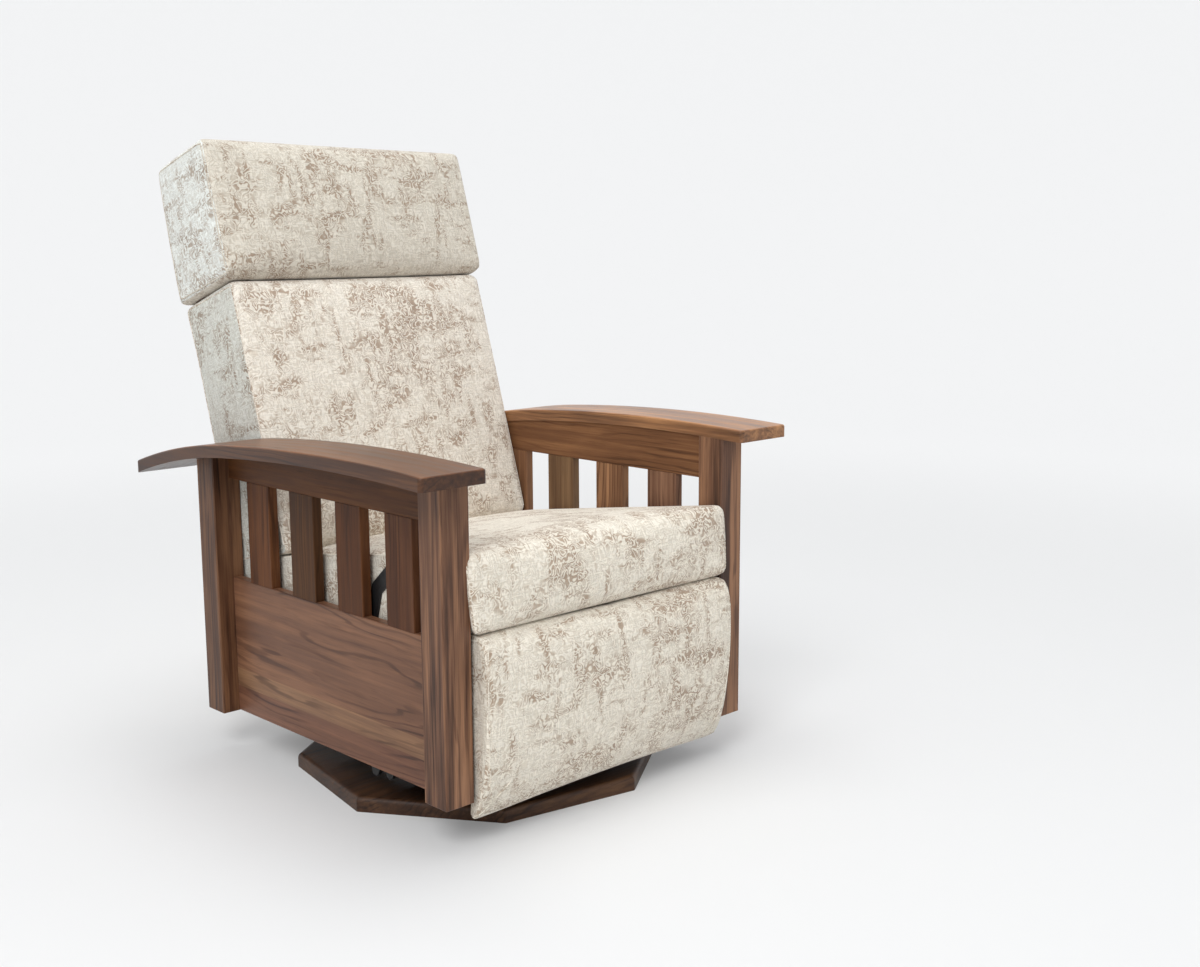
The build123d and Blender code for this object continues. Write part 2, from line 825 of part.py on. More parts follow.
def stand_pins():
    """The stand's pivots, through the heads of the links."""
    high = link_low + strap_thick + strap_gap / 2
    return group([pin(centre, stand_low, high, head_high=pin_head_thick / 4) for centre in hook_points])


def stand():
    """A tapered stand plate with a foot flange, which holds up the links."""
    half_top = stand_foot_half * stand_top_share + glide_pitch * (1 - stand_top_share)
    head = glide_top_height + glide_link_wide / 2
    web = outline(
        (stand_foot_half, stand_floor + stand_arm_deep),
        (half_top + glide_link_wide / 2, head),
        (-half_top - glide_link_wide / 2, head),
        (-stand_foot_half, stand_floor + stand_arm_deep),
    )
    window = 2 * glide_pitch * carriage_window_share
    web -= Pos(0, (head + stand_floor + stand_arm_deep) / 2) * RectangleRounded(window, window, window / 4)
    for hole in hook_points:
        web -= Pos(*hole) * Circle(pin_radius)
    flange = block((stand_low + plate_thick - flange_wide, -stand_foot_half, stand_floor + stand_arm_deep),
                   (stand_low + plate_thick, stand_foot_half, stand_floor + stand_arm_deep + plate_thick))
    return side(web, stand_low, plate_thick) + flange


def stand_arms():
    """Two flattened tubes across the turntable, under the stands."""
    half = stand_low + plate_thick
    pieces = []
    for sign in (1, -1):
        low = (-half, sign * stand_arm_ahead - stand_arm_wide / 2, stand_floor)
        high = (half, sign * stand_arm_ahead + stand_arm_wide / 2, stand_floor + stand_arm_deep)
        outer = chamfer(block(low, high).edges().filter_by(Axis.X), stand_arm_wall)
        bore_low = (-half - overrun, low[1] + stand_arm_wall, low[2] + stand_arm_wall)
        bore_high = (half + overrun, high[1] - stand_arm_wall, high[2] - stand_arm_wall)
        pieces.append(outer - block(bore_low, bore_high))
    return group(pieces)


def corner_spots(half):
    """Four places, one towards each corner."""
    return [(x * half, y * half) for x in (-1, 1) for y in (-1, 1)]


def swivel_plate(low):
    """A square bearing plate with a centre hole and a hole at each corner."""
    sketch = RectangleRounded(swivel_plate_side, swivel_plate_side, swivel_plate_corner)
    sketch -= Circle(bolt_radius + pin_clearance)
    for spot in corner_spots(swivel_plate_side / 2 - screw_inset):
        sketch -= Pos(*spot) * Circle(screw_radius + pin_clearance)
    return Pos(0, 0, low) * extrude(sketch, amount=swivel_plate_thick)


def race(low, groove_height):
    """One grooved ring of the ball bearing."""
    section = Pos(race_radius, low + race_height / 2) * Rectangle(race_wide, race_height)
    section -= Pos(race_radius, groove_height) * Circle(ball_radius + ball_clearance)
    return revolve(Plane.XZ * section, Axis.Z)


def balls():
    """The ring of steel balls."""
    height = base_thick + swivel_plate_thick + race_height
    ball = Sphere(ball_radius)
    spots = [(360 / ball_count) * index for index in range(ball_count)]
    return group([Rot(0, 0, turn) * Pos(race_radius, 0, height) * ball for turn in spots])


def base_plate():
    """The eight-sided floor plate with its big rounded top edge."""
    sketch = RegularPolygon(base_radius, base_sides, rotation=180 / base_sides + base_turn)
    plate = extrude(sketch, amount=base_thick)
    uprights = plate.edges().filter_by(Axis.Z)
    plate = fillet(uprights, base_round / 2)
    return fillet(plate.faces().sort_by(Axis.Z)[-1].edges(), base_round)


def pan_screw(x, y, head_low, length):
    """A pan-head screw standing in a plate, its head uppermost."""
    shank = Pos(x, y, head_low - length / 2) * Cylinder(screw_radius, length)
    head = Pos(x, y, head_low + screw_head_thick / 2) * Cylinder(screw_head_radius, screw_head_thick)
    return shank + head


def base_screws():
    """The screws that hold the lower bearing plate to the wood."""
    top = base_thick + swivel_plate_thick
    spots = corner_spots(swivel_plate_side / 2 - screw_inset)
    return group([pan_screw(x, y, top, swivel_plate_thick) for x, y in spots])


def centre_bolt():
    """The bolt on the swivel axis, which keeps the two plates together."""
    foot = base_thick
    top = stand_floor + touch_gap
    shank = Pos(0, 0, (foot + top) / 2) * Cylinder(bolt_radius, top - foot)
    head = extrude(RegularPolygon(bolt_head_radius, 6), bolt_head_thick)
    return shank + Pos(0, 0, top) * head


def build():
    """Make and write every piece."""
    save("base_plate", base_plate())
    lower_top = base_thick + swivel_plate_thick
    save("lower_swivel_plate", swivel_plate(base_thick))
    save("lower_race", race(lower_top, lower_top + race_height))
    save("bearing_balls", balls())
    save("base_bolts", group([centre_bolt(), base_screws()]))
    save("upper_race", race(lower_top + race_height, lower_top + race_height))
    save("upper_swivel_plate", swivel_plate(lower_top + 2 * race_height))
    save("stand_arms", stand_arms())
    save("stands", pair(stand()))
    save("stand_pins", pair(stand_pins()))
    save("front_glide_links", pair(glide_link(glide_pitch)))
    save("rear_glide_links", pair(glide_link(-glide_pitch)))
    save("carriages", pair(carriage()))
    save("carriage_pins", pair(carriage_pins()))
    save("arm_left", arm())
    save("arm_right", other_side(arm()))
    for name, ahead in (("front", front_post_ahead), ("rear", -rear_post_behind + post_side)):
        save(f"{name}_post_left", post(ahead))
        save(f"{name}_post_right", other_side(post(ahead)))
    for name, maker in (("side_panel", side_panel), ("top_rail", top_rail), ("slats", slats),
                        ("seat_rail", seat_side_rail)):
        save(f"{name}_left", maker())
        save(f"{name}_right", other_side(maker()))
    save("seat_rail_front", seat_cross_rail(seat_rail_front))
    save("seat_rail_rear", seat_cross_rail(seat_rear_rail_end - seat_rail_wide))
    save("seat_springs", seat_springs())
    save("seat_cushion", seat_cushion())
    save("front_cross_rail", front_cross_rail())
    save("rear_rail", rear_rail())
    save("mechanism_plates", pair(mechanism_plate()))
    save("plate_pins", pair(group([plate_pins(), back_pivot_pin()])))
    save("drive_links", pair(drive_link()))
    save("drive_tube", drive_tube())
    save("brace_links", pair(brace_link()))
    save("carry_links", pair(carry_link()))
    save("steady_links", pair(steady_link()))
    outer_high = outer_layer + strap_thick
    rivets = linkage_rivets([knee, toe], inner_layer, outer_high)
    save("drive_pins", pair(group([drive_pins(), rivets])))
    save("heel_rivets", pair(linkage_rivets([heel], inner_layer, outer_high)))
    inner_high = inner_layer + strap_thick
    save("footrest_rivets", pair(linkage_rivets([upper_eye, lower_eye], bracket_layer, inner_high)))
    save("footrest_brackets", pair(footrest_bracket()))
    save("footrest_board", footrest_board())
    save("footrest_pad", footrest_pad())
    save("back_stile_left", back_stile())
    save("back_stile_right", other_side(back_stile()))
    save("back_rail_low", back_rail(frame_foot))
    save("back_rail_middle", back_rail(back_middle_foot))
    save("back_rail_top", back_rail(frame_top - back_rail_wide))
    save("back_springs", back_springs())
    save("back_brackets", pair(back_bracket()))
    save("back_cushion", back_cushion())
    save("headrest_cushion", headrest_cushion())
    save("back_cover", back_cover())
    save("headrest_cover", back_shell(head_half_width, back_height + head_gap, back_total, True, False))
    save("release_lever", other_side(release_lever()))
    save("lever_grip", other_side(lever_grip()))


build()
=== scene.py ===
# %% [markdown]
# # A swivel glider recliner in walnut and oatmeal cloth
#
# The chair's wood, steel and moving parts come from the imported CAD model, and they never move
# here. This lesson gives them their finishes, sews the cushions that stand for the plain foam
# blocks, and lights the whole like a studio picture. Lengths are in metres. The sitter faces -Y,
# +X is the sitter's left, and the origin is on the floor, on the swivel axis.

# %% Load the chair
import json
import math

import bmesh
import bpy
from mathutils import Matrix, Vector
from mathutils.bvhtree import BVHTree


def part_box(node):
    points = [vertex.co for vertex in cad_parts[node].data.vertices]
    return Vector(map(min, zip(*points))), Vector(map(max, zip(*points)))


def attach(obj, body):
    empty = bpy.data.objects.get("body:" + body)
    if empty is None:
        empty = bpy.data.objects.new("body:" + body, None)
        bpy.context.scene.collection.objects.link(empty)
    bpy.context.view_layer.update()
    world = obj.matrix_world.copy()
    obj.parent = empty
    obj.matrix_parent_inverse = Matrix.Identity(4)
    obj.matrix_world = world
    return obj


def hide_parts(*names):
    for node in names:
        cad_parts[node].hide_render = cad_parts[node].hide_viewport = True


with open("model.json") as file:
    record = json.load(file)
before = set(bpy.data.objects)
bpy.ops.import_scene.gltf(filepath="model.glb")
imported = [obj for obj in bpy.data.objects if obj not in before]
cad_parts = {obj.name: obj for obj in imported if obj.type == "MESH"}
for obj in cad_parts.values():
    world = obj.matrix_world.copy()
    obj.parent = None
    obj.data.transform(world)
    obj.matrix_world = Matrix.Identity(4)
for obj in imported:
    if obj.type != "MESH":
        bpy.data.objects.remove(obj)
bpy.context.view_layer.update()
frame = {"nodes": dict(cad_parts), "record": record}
chair_scene = bpy.context.scene

# %% [markdown]
# ## The camera
#
# The photograph's view was worked out from the straight edges of the arms, posts and panel, so
# the camera is given as a place, three angles and a field of view. Building its rotation from
# the direction it looks back along keeps the three angles readable.

# %% Place the camera
camera_place = Vector((-1.67937, -2.04314, 0.96729))
camera_azimuth = math.radians(-44.29)
camera_elevation = math.radians(9.70)
camera_roll = math.radians(-0.23)
image_width = 1200
focal_pixels = 1457.35

camera_back = Vector((
    math.sin(camera_azimuth) * math.cos(camera_elevation),
    -math.cos(camera_azimuth) * math.cos(camera_elevation),
    math.sin(camera_elevation),
))
camera_data = bpy.data.cameras.new("photo_view")
camera_data.sensor_width = 36.0
camera_data.lens = camera_data.sensor_width * focal_pixels / image_width
camera = bpy.data.objects.new("photo_view", camera_data)
chair_scene.collection.objects.link(camera)
camera.rotation_mode = "QUATERNION"
camera.location = camera_place
camera.rotation_quaternion = (-camera_back).to_track_quat("-Z", "Y")
camera.rotation_quaternion @= Matrix.Rotation(camera_roll, 3, "Z").to_quaternion()
chair_scene.camera = camera
print("camera at", [round(x, 2) for x in camera_place], "lens", round(camera_data.lens, 1))

# %% [markdown]
# ## The studio
#
# The real picture was taken in a white cove: the floor curves up into the wall, so no line shows
# where they meet. One profile spun round the chair gives such a cove for every view. Its colour
# gets a little of its own light, seen only by the camera and by mirrors, so it stays pale without
# more light on the chair, and the soft shadow under the chair is kept.

# %% Spin the cove
cove_floor_radius = 5.0
cove_bend_radius = 2.5
cove_wall_height = 6.0
cove_bend_steps = 12
cove_turn_steps = 72
cove_hole_radius = 0.02


def in_scene(name, mesh):
    """Put a mesh in the scene as an object."""
    piece = bpy.data.objects.new(name, mesh)
    chair_scene.collection.objects.link(piece)
    return piece


def spin_cove():
    """The floor, bend and wall, as one profile turned about the swivel axis. One face closes the
    small hole that the turn leaves in the middle."""
    shape = bmesh.new()
    profile = [Vector((cove_hole_radius, 0, 0)), Vector((cove_floor_radius, 0, 0))]
    for step in range(1, cove_bend_steps + 1):
        turn = math.radians(90) * step / cove_bend_steps
        out = cove_floor_radius + cove_bend_radius * math.sin(turn)
        profile.append(Vector((out, 0, cove_bend_radius * (1 - math.cos(turn)))))
    profile.append(Vector((cove_floor_radius + cove_bend_radius, 0, cove_wall_height)))
    points = [shape.verts.new(place) for place in profile]
    edges = [shape.edges.new(pair) for pair in zip(points, points[1:])]
    bmesh.ops.spin(shape, geom=points + edges, cent=(0, 0, 0), axis=(0, 0, 1),
                   angle=math.radians(360), steps=cove_turn_steps, use_merge=True)
    bmesh.ops.contextual_create(shape, geom=[edge for edge in shape.edges if edge.is_boundary
                                             and edge.verts[0].co.z < 0.01])
    mesh = bpy.data.meshes.new("cove")
    shape.to_mesh(mesh)
    shape.free()
    mesh.shade_smooth()
    return in_scene("cove", mesh)


cove = spin_cove()
print("cove faces", len(cove.data.polygons))

# %% [markdown]
# ## Helpers for finishes
#
# Every finish is a small tree of nodes. Colours are written as they look on a screen, from 0 to
# 255, and turned into the linear values that a shader wants. The helpers below add a node each,
# feed it, and hand back the socket that the next one reads.

# %% Node helpers


def screen_colour(red, green, blue):
    """A colour picked on a screen, as the linear values of a shader."""
    shares = [value / 255 for value in (red, green, blue)]
    linear = [s / 12.92 if s <= 0.04045 else ((s + 0.055) / 1.055) ** 2.4 for s in shares]
    return (*linear, 1.0)


def new_finish(name, roughness, metallic=0.0):
    """A material with its shader, ready for colour and bump."""
    finish = bpy.data.materials.new(name)
    finish.use_nodes = True
    shader = finish.node_tree.nodes["Principled BSDF"]
    shader.inputs["Roughness"].default_value = roughness
    shader.inputs["Metallic"].default_value = metallic
    return finish, finish.node_tree, shader


def feed(tree, socket, value):
    """Join a socket to another one, or give it a value of its own."""
    if isinstance(value, bpy.types.NodeSocket):
        tree.links.new(value, socket)
    else:
        socket.default_value = value


def add(tree, kind, settings=None, **inputs):
    """Add a node, set its options, and feed its inputs by name."""
    made = tree.nodes.new(kind)
    for option, value in (settings or {}).items():
        setattr(made, option, value)
    for name, value in inputs.items():
        feed(tree, made.inputs[name.replace("_", " ")], value)
    return made


def maths(tree, operation, first, second=0.0, clamp=False):
    """One sum, product or comparison."""
    made = tree.nodes.new("ShaderNodeMath")
    made.operation = operation
    made.use_clamp = clamp
    for socket, value in zip(made.inputs, (first, second)):
        feed(tree, socket, value)
    return made.outputs[0]


def along_all(tree, value):
    """One value in all three parts of a colour or a place."""
    return add(tree, "ShaderNodeCombineXYZ", X=value, Y=value, Z=value).outputs[0]


print("node helpers ready")

# %% Pattern helpers


def stretched(tree, place, scale, offset=(0, 0, 0)):
    """The place on the piece, scaled differently along each axis and shifted."""
    return add(tree, "ShaderNodeMapping", Vector=place, Scale=scale, Location=offset).outputs[0]


def cloud(tree, place, scale=1.0, detail=2.0, roughness=0.5, distortion=0.0):
    """Smooth random light and dark."""
    return add(tree, "ShaderNodeTexNoise", Vector=place, Scale=scale, Detail=detail,
               Roughness=roughness, Distortion=distortion).outputs["Fac"]


def remap(tree, value, low, high, new_low=0.0, new_high=1.0):
    """Stretch a range of values onto another, softly."""
    made = add(tree, "ShaderNodeMapRange", {"interpolation_type": "SMOOTHSTEP"}, Value=value)
    for name, number in (("From Min", low), ("From Max", high), ("To Min", new_low),
                         ("To Max", new_high)):
        made.inputs[name].default_value = number
    return made.outputs[0]


def colour_steps(tree, value, steps, blend="LINEAR"):
    """Colours along a value: (position, colour) pairs."""
    made = add(tree, "ShaderNodeValToRGB", Fac=value)
    made.color_ramp.interpolation = blend
    stops = made.color_ramp.elements
    stops.remove(stops[1])
    stops[0].position, stops[0].color = steps[0]
    for position, colour in steps[1:]:
        stops.new(position).color = colour
    return made.outputs["Color"]


def mixed(tree, share, first, second, way="MIX"):
    """Two colours mixed by a share: the node's socket 0 is the share, 6 and 7 are the colours."""
    made = tree.nodes.new("ShaderNodeMix")
    made.data_type = "RGBA"
    made.blend_type = way
    for number, value in ((0, share), (6, first), (7, second)):
        feed(tree, made.inputs[number], value)
    return made.outputs[2]


def times_grey(tree, colour, share):
    """A colour made darker or lighter by the same share in all its parts."""
    return mixed(tree, 1.0, colour, along_all(tree, share), "MULTIPLY")


print("pattern helpers ready")

# %% Dressing helpers


def bump(tree, shader, height, strength, distance):
    """Fine relief on a shader."""
    made = add(tree, "ShaderNodeBump", Height=height, Strength=strength, Distance=distance)
    tree.links.new(made.outputs["Normal"], shader.inputs["Normal"])


def dress(piece, finish):
    """Give a piece one finish all over."""
    piece.data.materials.clear()
    piece.data.materials.append(finish)


def redress(name, finish):
    """Give a CAD node's slots a new finish, its mesh left alone."""
    piece = frame["nodes"][name]
    if not piece.material_slots:
        piece.data.materials.append(finish)
    for place in piece.material_slots:
        place.material = finish


print("dressing helpers ready")

# %% [markdown]
# ## Paint and light
#
# Two soft boxes light the chair: a strong one high in front, on the picture's left, and one
# overhead, for the seat and the arms. The air around adds the rest. Close to the chair the cove
# shows mostly its paint, so that the shadow is seen, and further out mostly its own light.

# %% Finish the cove and light it
cove_colour = screen_colour(228, 228, 228)
cove_own_light = screen_colour(250, 251, 252)
cove_own_near = 0.15
cove_own_far = 0.80
cove_fade_start = 1.3
cove_fade_end = 4.5
air_colour = screen_colour(246, 248, 250)
air_strength = 0.72


def finish_cove():
    """Pale paint with a little light of its own for the camera and for mirrors."""
    finish, tree, shader = new_finish("cove_paint", 0.95)
    shader.inputs["Base Color"].default_value = cove_colour
    shader.inputs["Specular IOR Level"].default_value = 0.1
    path = tree.nodes.new("ShaderNodeLightPath").outputs
    seen = maths(tree, "ADD", path["Is Camera Ray"], path["Is Glossy Ray"], clamp=True)
    seen = maths(tree, "ADD", seen, path["Is Transmission Ray"], clamp=True)
    place = add(tree, "ShaderNodeTexCoord").outputs["Object"]
    reach = add(tree, "ShaderNodeVectorMath", {"operation": "LENGTH"}, Vector=place).outputs["Value"]
    own = remap(tree, reach, cove_fade_start, cove_fade_end, cove_own_near, cove_own_far)
    share = maths(tree, "MULTIPLY", seen, own)
    glow = add(tree, "ShaderNodeEmission", Color=cove_own_light)
    blend = tree.nodes.new("ShaderNodeMixShader")
    tree.links.new(share, blend.inputs[0])
    tree.links.new(shader.outputs[0], blend.inputs[1])
    tree.links.new(glow.outputs[0], blend.inputs[2])
    tree.links.new(blend.outputs[0], tree.nodes["Material Output"].inputs["Surface"])
    dress(cove, finish)


def area_light(name, place, aim, side, power):
    """A square soft box, turned to the chair."""
    data = bpy.data.lights.new(name, "AREA")
    data.size = side
    data.energy = power
    light = bpy.data.objects.new(name, data)
    chair_scene.collection.objects.link(light)
    light.location = place
    light.rotation_mode = "QUATERNION"
    light.rotation_quaternion = (Vector(aim) - Vector(place)).to_track_quat("-Z", "Y")


finish_cove()
studio_air = bpy.data.worlds.new("studio_air")
studio_air.use_nodes = True
background = studio_air.node_tree.nodes["Background"]
background.inputs["Color"].default_value = air_colour
background.inputs["Strength"].default_value = air_strength
chair_scene.world = studio_air
area_light("side_box", (-4.4, -2.9, 5.0), aim=(0, 0, 0.5), side=2.8, power=205)
area_light("top_box", (0.2, 0.2, 5.6), aim=(0, 0, 0.4), side=3.0, power=105)
chair_scene.view_settings.view_transform = "Standard"
print("lights", [item.name for item in bpy.data.lights])

# %% [markdown]
# ## Walnut
#
# A board is a slice of a trunk, so its lines are the trunk's growth rings, cut lengthwise. They
# are drawn that way here: the distance from the pith, the trunk's middle, is cut into rings, and
# a slow cloud makes them sway. Where the face lies square to the rings the lines are straight and
# fine, and where it lies flat on them they open into tall arches. A board therefore needs only
# its grain direction, the place of its pith and its tint. Boards that were glued side by side get
# their own tint from a ramp across the joint, with hard steps. Short dark pores lie over it all.
#
# The tints follow the picture, and some of them are painted light and shade: the far side of the
# chair, the sitter's left, has lighter tints on its arm, rail and slats as painted light, and the near
# side has darker ones on its arm, rail, slats and rear post as painted shade. The arms' sides are
# painted darker than their tops, as painted shade. The posts have a strong figure, the rails and
# panels a calm one.

# %% Walnut rings
walnut_dark = screen_colour(60, 38, 27)
walnut_middle = screen_colour(109, 75, 55)
walnut_light = screen_colour(156, 114, 84)
ring_spacing = 0.0085
ring_sway = 0.075
ring_depth = 0.20
pore_depth = 0.40
axis_names = "XYZ"

# Each gloss is the specular level and the roughness.
satin, polished, dull = (0.30, 0.42), (0.40, 0.34), (0.15, 0.45)


def across_grain(grain, along, across):
    """A scale that is small along the grain and large across it."""
    return tuple(along if name == grain else across for name in axis_names)


def growth_rings(tree, place, grain, pith, shift):
    """Dark ring lines, from 0 to 1, of a trunk whose middle runs along the grain."""
    trunk = stretched(tree, place, across_grain(grain, 0.03, 1.0),
                      tuple(0.0 if name == grain else -value for name, value in zip(axis_names, pith)))
    reach = add(tree, "ShaderNodeVectorMath", {"operation": "LENGTH"}, Vector=trunk).outputs["Value"]
    slow = cloud(tree, stretched(tree, place, across_grain(grain, 1.5, 6.5), shift), 1.0, 2, 0.5)
    quick = cloud(tree, stretched(tree, place, across_grain(grain, 5, 55), shift), 1.0, 2, 0.5)
    reach = maths(tree, "ADD", reach, maths(tree, "MULTIPLY", slow, ring_sway))
    reach = maths(tree, "ADD", reach, maths(tree, "MULTIPLY", quick, ring_spacing * 1.6))
    wave = maths(tree, "SINE", maths(tree, "MULTIPLY", reach, 2 * math.pi / ring_spacing))
    return remap(tree, wave, 0.35, 1.0)


print("rings ready, spaced", ring_spacing)

# %% Glued boards and edges


def joint_steps(tree, place, joints, across_axis):
    """A number that jumps at every glued joint, so that each board has a figure of its own."""
    height = add(tree, "ShaderNodeSeparateXYZ", Vector=place).outputs[across_axis]
    total = 0.0
    for index, joint in enumerate(joints):
        beyond = maths(tree, "GREATER_THAN", height, joint)
        total = maths(tree, "ADD", maths(tree, "MULTIPLY", beyond, 3.7 + 1.3 * index), total)
    return along_all(tree, total)


def board_tints(tree, place, boards, across_axis):
    """The tint of each glued board, in hard steps across the joints."""
    across = add(tree, "ShaderNodeSeparateXYZ", Vector=place).outputs[across_axis]
    low, high = boards[0][0], boards[-1][0] + 0.001
    height = add(tree, "ShaderNodeMapRange", Value=across)
    height.inputs["From Min"].default_value = low
    height.inputs["From Max"].default_value = high
    steps = [((at - low) / (high - low), board) for at, board in boards]
    return colour_steps(tree, height.outputs[0], steps, "CONSTANT")


def painted_edge_shade(tree, edge_painted_shade_share):
    """Painted shade by facing: 1 where a face looks up, and edge_painted_shade_share where it looks
    sideways or down.
    """
    normal = add(tree, "ShaderNodeTexCoord").outputs["Normal"]
    upward = add(tree, "ShaderNodeSeparateXYZ", Vector=normal).outputs["Z"]
    return remap(tree, upward, 0.4, 0.9, edge_painted_shade_share, 1.0)


print("board tools ready")

# %% Walnut finish


def walnut(name, grain, pith, start, tint, boards=None, across_axis="Z", gloss=satin, figure=1.0,
           edge_painted_shade_share=1.0):
    """Walnut, its pattern shifted by start. boards are (place, tint) steps across the glued joints,
    lowest first. figure is the strength of light and dark, 1 being usual, and edge_painted_shade_share
    is how light the edges are painted, as a share of the top, which is painted shade on the sides and
    undersides."""
    finish, tree, shader = new_finish(name, gloss[1])
    shader.inputs["Specular IOR Level"].default_value = gloss[0]
    place = add(tree, "ShaderNodeTexCoord").outputs["Object"]
    spot = place
    if boards:
        jumps = joint_steps(tree, place, [at for at, board in boards[1:]], across_axis)
        moved = add(tree, "ShaderNodeVectorMath", {"operation": "ADD"})
        feed(tree, moved.inputs[0], place)
        feed(tree, moved.inputs[1], jumps)
        spot = moved.outputs[0]
    shift = Vector((start * 1.37, start * 0.71, start * 2.13))

    def long_cloud(along, across, offset, *settings):
        return cloud(tree, stretched(tree, spot, across_grain(grain, along, across), offset), 1.0,
                     *settings)

    broad = long_cloud(1.6, 10, shift, 3, 0.6, 0.8)
    streaks = long_cloud(2.4, 95, shift * 2, 4, 0.65, 0.3)
    pores = long_cloud(22, 900, shift * 5, 1, 0.5)
    weight = long_cloud(3, 22, shift * 3, 2, 0.5)
    rings = growth_rings(tree, place, grain, pith, shift)
    rings = maths(tree, "MULTIPLY", rings, remap(tree, weight, 0.40, 0.66, 0.0, 1.0))
    tone = maths(tree, "ADD", maths(tree, "MULTIPLY", broad, 0.70 * figure),
                 maths(tree, "MULTIPLY", streaks, 0.80 * figure))
    tone = maths(tree, "SUBTRACT", tone, maths(tree, "MULTIPLY", rings, ring_depth))
    tone = maths(tree, "ADD", tone, 0.68 - 0.75 * figure)
    colour = colour_steps(tree, tone, [(0.36, walnut_dark), (0.65, walnut_middle),
                                       (0.96, walnut_light)])
    pore = remap(tree, pores, 0.60, 0.74, 0.0, pore_depth)
    colour = mixed(tree, pore, colour, walnut_dark)
    if boards:
        colour = mixed(tree, 1.0, colour, board_tints(tree, place, boards, across_axis), "MULTIPLY")
    # The tint can carry painted light and shade: lighter on the far side, darker on the near side and
    # on the base.
    colour = mixed(tree, 1.0, colour, tint, "MULTIPLY")
    # Painted shade: faces that look sideways or down are darker than the top.
    if edge_painted_shade_share < 1:
        colour = times_grey(tree, colour, painted_edge_shade(tree, edge_painted_shade_share))
    tree.links.new(colour, shader.inputs["Base Color"])
    rough = remap(tree, streaks, 0.3, 0.7, gloss[1] - 0.05, gloss[1] + 0.05)
    tree.links.new(rough, shader.inputs["Roughness"])
    relief = maths(tree, "SUBTRACT", maths(tree, "MULTIPLY", rings, -0.2), pore)
    bump(tree, shader, relief, 0.25, 0.0006)
    return finish


print("walnut mixed")

# %% Dress the walnut pieces
plain, warm, olive = (1.00, 1.00, 1.00, 1), (1.08, 1.00, 0.90, 1), (0.74, 0.78, 0.72, 1)
plum, pale = (0.92, 0.88, 0.94, 1), (1.20, 1.34, 1.30, 1)
# Painted light and shade: the sitter's left, the far side, is tinted lighter and the sitter's right,
# the near side, darker.
arm_tint_painted_light_and_shade = {"left": (2.00, 1.96, 1.55, 1), "right": (0.86, 0.67, 0.45, 1)}
# Painted shade on the arms' sides, strongest on the near arm.
arm_edge_painted_shade = {"left": 0.72, "right": 0.42}
front_post_tint = (0.95, 0.95, 0.95, 1)
panel_tint = (1.05, 1.04, 1.05, 1)
# Partly the base's own dark wood and partly painted shade from the chair above it.
base_tint_with_painted_shade = (0.36, 0.34, 0.29, 1)
# Painted light and shade again: rails, slats and rear posts lighter on the far side, darker on the
# near side.
rail_tint_painted_light_and_shade = {"left": (1.08, 1.04, 0.86, 1), "right": (0.63, 0.53, 0.37, 1)}
slat_tint_painted_light_and_shade = {"left": (1.22, 1.38, 1.44, 1), "right": (0.57, 0.48, 0.36, 1)}
rear_post_tint_painted_shade = {"left": plain, "right": (0.62, 0.58, 0.53, 1)}

slat_wide = 0.073
slat_lead = 0.03
slat_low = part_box("slats_left")[0].y
slat_step = (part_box("slats_left")[1].y - slat_low - slat_wide) / 3
slat_boards = [(slat_low - slat_lead + slat_step * index, tint)
               for index, tint in enumerate((plum, warm, olive, warm))]
panel_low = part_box("side_panel_left")[0].z
panel_boards = [(panel_low, plum), (panel_low + 0.049, pale), (panel_low + 0.084, plain)]

for number, side in enumerate(("left", "right")):
    way = 1 if side == "left" else -1
    redress(f"arm_{side}", walnut(
        f"walnut_arm_{side}", "Y", (way * 0.30, 0, 0.35), 1.0 + number, arm_tint_painted_light_and_shade[side],
        gloss=polished, figure=1.15, edge_painted_shade_share=arm_edge_painted_shade[side]))
    redress(f"front_post_{side}", walnut(
        f"walnut_front_post_{side}", "Z", (way * 0.16, -0.10, 0), 3.0 + number, front_post_tint,
        figure=2.2))
    redress(f"rear_post_{side}", walnut(
        f"walnut_rear_post_{side}", "Z", (way * 0.16, 0.62, 0), 5.0 + number, rear_post_tint_painted_shade[side],
        figure=1.6))
    redress(f"top_rail_{side}", walnut(
        f"walnut_rail_{side}", "Y", (way * 0.15, 0, 0.72), 7.0 + number, rail_tint_painted_light_and_shade[side],
        gloss=dull, figure=0.65))
    redress(f"side_panel_{side}", walnut(
        f"walnut_panel_{side}", "Y", (way * 0.16, 0, 0.225), 9.0 + number, panel_tint,
        panel_boards, figure=0.6))
    redress(f"slats_{side}", walnut(
        f"walnut_slats_{side}", "Z", (way * 0.10, 0.40, 0), 11.0 + number, slat_tint_painted_light_and_shade[side],
        slat_boards, "Y", gloss=dull, figure=0.8))
redress("rear_rail", walnut("walnut_rear_rail", "X", (0, 0.1, 0.3), 13.0, plain))
# The base's tint is partly painted shade from the chair above.
redress("base_plate", walnut("walnut_base", "X", (0, 0.1, 0.30), 14.0, base_tint_with_painted_shade))
print("walnut pieces dressed")

# %% [markdown]
# ## Hidden wood, steel and wire
#
# The frame under the cloth is hardwood and plywood, painted dark as painted shade, so that where it
# shows in the gaps behind the cushions it reads as shade. The mechanism is black powder-coated strap,
# which has a fine orange-peel skin.
# Springs, balls and bolts are bright, and the lever ends in a dipped vinyl sleeve that is duller
# than the steel.

# %% Frame wood and metals


